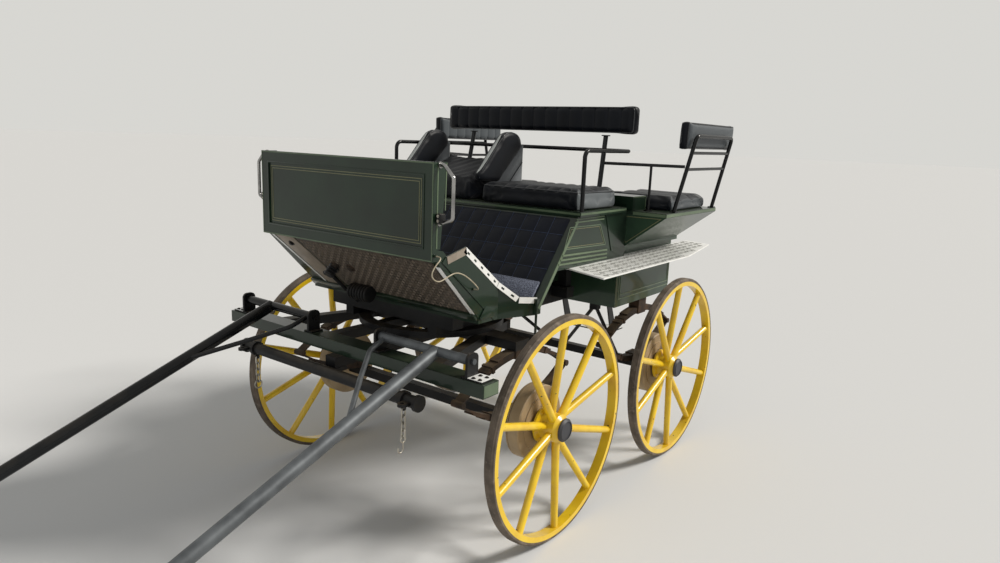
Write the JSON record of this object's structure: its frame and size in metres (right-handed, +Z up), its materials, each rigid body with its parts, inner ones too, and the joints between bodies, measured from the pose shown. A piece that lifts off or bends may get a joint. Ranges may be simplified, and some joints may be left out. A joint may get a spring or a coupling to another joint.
{
  "type": "horse drawn wagonette carriage",
  "caption": "Open wagonette carriage with spoked wheels, padded driver bench, side benches behind, elliptic springs, turntable steering and a pair of hinged shafts.",
  "frame": {"origin": "on the ground, under the middle of the overall box, from the rear tyres to the shaft tips", "axes": "+X forward along the shafts, +Y to the carriage's left, +Z up"},
  "size_m": [4.1537, 1.568, 1.702],
  "materials": {
    "black_leather": "black leatherette with channels",
    "black_steel": "black painted steel, dusty",
    "cable_sheath": "light sheathed wire",
    "floor_carpet": "grey blue carpet",
    "green_paint": "gloss dark green paint",
    "hub_iron": "dusty beige iron",
    "quilted_cloth": "navy black quilted leatherette",
    "satin_steel": "satin grey steel",
    "spring_steel": "rusty brown leaf steel",
    "tread_plate": "bright five-bar tread plate",
    "tyre_rubber": "matt black rubber, dusty",
    "yellow_paint": "gloss yellow paint on wood"
  },
  "bodies": {
    "chassis": {"back_bar": "black_leather", "back_pad_left": "black_leather", "back_pad_right": "black_leather", "back_rest_left": "black_steel", "back_rest_right": "black_steel", "bench_cushion": "black_leather", "bench_rails": "black_steel", "cable_wire": "cable_sheath", "chassis_frame": "black_steel", "dash_board": "green_paint", "dash_handles": "black_steel", "door_hinges": "black_steel", "driver_cushion": "black_leather", "floor_board": "floor_carpet", "rear_axle": "black_steel", "rear_spring_left": "spring_steel", "rear_spring_right": "spring_steel", "rear_step": "tread_plate", "rear_tub": "green_paint", "riser_panel": "quilted_cloth", "seat_board": "green_paint", "seat_box": "green_paint", "seat_wing_inner": "black_leather", "seat_wing_outer": "black_leather", "side_bench_left": "green_paint", "side_bench_right": "green_paint", "side_cushion_left": "black_leather", "side_cushion_right": "black_leather", "side_step_left": "tread_plate", "side_step_right": "tread_plate", "toe_board": "green_paint", "toe_cheek_left": "green_paint", "toe_cheek_right": "green_paint", "turntable_upper_ring": "black_steel"},
    "fore_carriage": {"fore_frame": "black_steel", "turntable_lower_ring": "black_steel", "splinter_bar": "green_paint", "shaft_brackets_left": "black_steel", "shaft_brackets_right": "black_steel", "swingletree_pin": "black_steel", "front_axle": "black_steel", "front_spring_left": "spring_steel", "front_spring_right": "spring_steel"},
    "swingletree_body": {"swingletree": "black_steel", "trace_chains": "black_steel"},
    "left_shaft": {"shaft_left": "satin_steel"},
    "right_shaft": {"shaft_right": "satin_steel"},
    "door": {"rear_door": "green_paint"},
    "front_left_wheel": {"wheel_front_left": "yellow_paint", "tyre_front_left": "tyre_rubber", "hub_front_left": "hub_iron"},
    "front_right_wheel": {"wheel_front_right": "yellow_paint", "tyre_front_right": "tyre_rubber", "hub_front_right": "hub_iron"},
    "rear_left_wheel": {"wheel_rear_left": "yellow_paint", "tyre_rear_left": "tyre_rubber", "hub_rear_left": "hub_iron"},
    "rear_right_wheel": {"wheel_rear_right": "yellow_paint", "tyre_rear_right": "tyre_rubber", "hub_rear_right": "hub_iron"}
  },
  "joints": [
    {"name": "steering", "type": "hinge", "parent": "chassis", "child": "fore_carriage", "pos_m": [-0.57589, 0, 0.765], "axis": [0, 0, 1], "range_deg": [-35, 35]},
    {"name": "swingletree_swing", "type": "hinge", "parent": "fore_carriage", "child": "swingletree_body", "pos_m": [-0.04689, 0, 0.668], "axis": [0, 0, 1], "range_deg": [-12, 12]},
    {"name": "left_shaft_lift", "type": "hinge", "parent": "fore_carriage", "child": "left_shaft", "pos_m": [-0.09189, 0.46, 0.822], "axis": [0, -1, 0], "range_deg": [0, 45]},
    {"name": "right_shaft_lift", "type": "hinge", "parent": "fore_carriage", "child": "right_shaft", "pos_m": [-0.09189, -0.46, 0.822], "axis": [0, -1, 0], "range_deg": [0, 45]},
    {"name": "rear_door_swing", "type": "hinge", "parent": "chassis", "child": "door", "pos_m": [-1.88489, 0.2525, 1], "axis": [0, 0, -1], "range_deg": [0, 95]},
    {"name": "front_left_wheel_spin", "type": "hinge", "parent": "fore_carriage", "child": "front_left_wheel", "pos_m": [-0.57589, 0.675, 0.45], "axis": [0, 1, 0], "continuous": true},
    {"name": "front_right_wheel_spin", "type": "hinge", "parent": "fore_carriage", "child": "front_right_wheel", "pos_m": [-0.57589, -0.675, 0.45], "axis": [0, 1, 0], "continuous": true},
    {"name": "rear_left_wheel_spin", "type": "hinge", "parent": "chassis", "child": "rear_left_wheel", "pos_m": [-1.62689, 0.675, 0.45], "axis": [0, 1, 0], "continuous": true},
    {"name": "rear_right_wheel_spin", "type": "hinge", "parent": "chassis", "child": "rear_right_wheel", "pos_m": [-1.62689, -0.675, 0.45], "axis": [0, 1, 0], "continuous": true}
  ]
}
